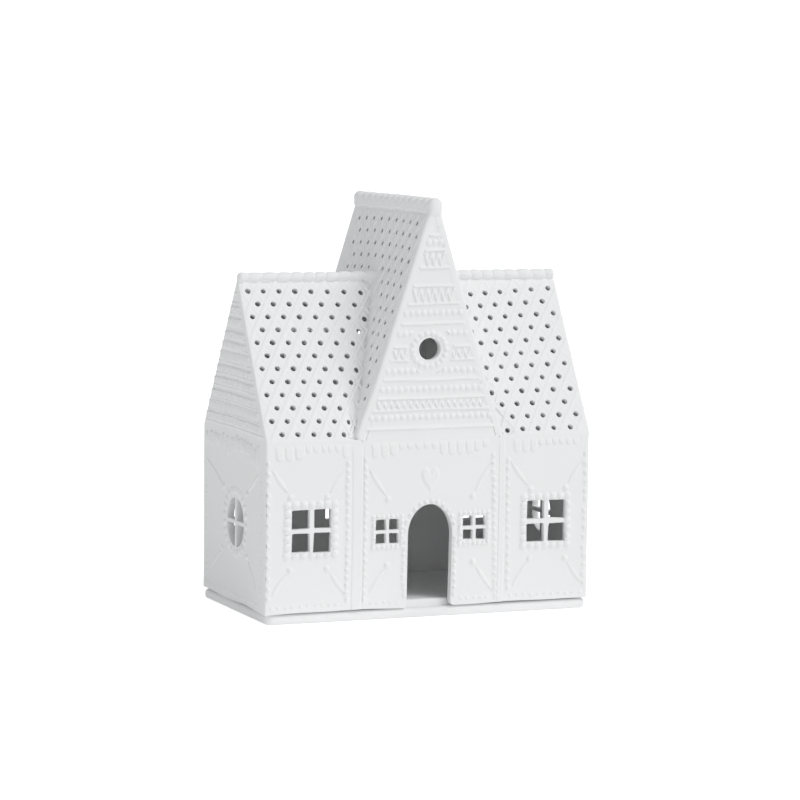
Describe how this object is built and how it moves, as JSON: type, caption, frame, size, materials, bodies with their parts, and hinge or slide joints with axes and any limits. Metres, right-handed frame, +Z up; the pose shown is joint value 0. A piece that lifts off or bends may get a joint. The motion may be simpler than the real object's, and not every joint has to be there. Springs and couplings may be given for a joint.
{
  "type": "gingerbread house tealight lantern",
  "caption": "White bisque porcelain gingerbread house with pierced roofs and piped relief, which lifts off a shallow tray with a raised plinth for a tealight.",
  "frame": {"origin": "middle of the tray's underside, where the ornament stands", "axes": "+Z up, the door faces -Y, the long roof ridge runs along X and the cross gable's ridge along Y"},
  "size_m": [0.1412, 0.0772, 0.168],
  "materials": {
    "bisque_wall": "unglazed matt white porcelain with piped relief",
    "bisque_roof": "unglazed matt white porcelain with a raised lattice and piercings",
    "bisque_piping": "unglazed matt white porcelain piping",
    "bisque_tray": "unglazed matt white porcelain"
  },
  "bodies": {
    "tray": {"tray": "bisque_tray"},
    "house": {"front_left_wall": "bisque_wall", "front_gable_wall": "bisque_wall", "front_right_wall": "bisque_wall", "back_left_wall": "bisque_wall", "back_gable_wall": "bisque_wall", "back_right_wall": "bisque_wall", "left_gable_wall": "bisque_wall", "right_gable_wall": "bisque_wall", "main_roof_front_left": "bisque_roof", "main_roof_front_right": "bisque_roof", "main_roof_back_left": "bisque_roof", "main_roof_back_right": "bisque_roof", "cross_roof_left": "bisque_roof", "cross_roof_right": "bisque_roof", "main_ridge_left": "bisque_piping", "main_ridge_right": "bisque_piping", "cross_ridge": "bisque_piping"}
  },
  "joints": [
    {"name": "house_lift", "type": "slide", "parent": "tray", "child": "house", "axis": [0, 0, 1], "range_m": [0, 0.06]}
  ]
}
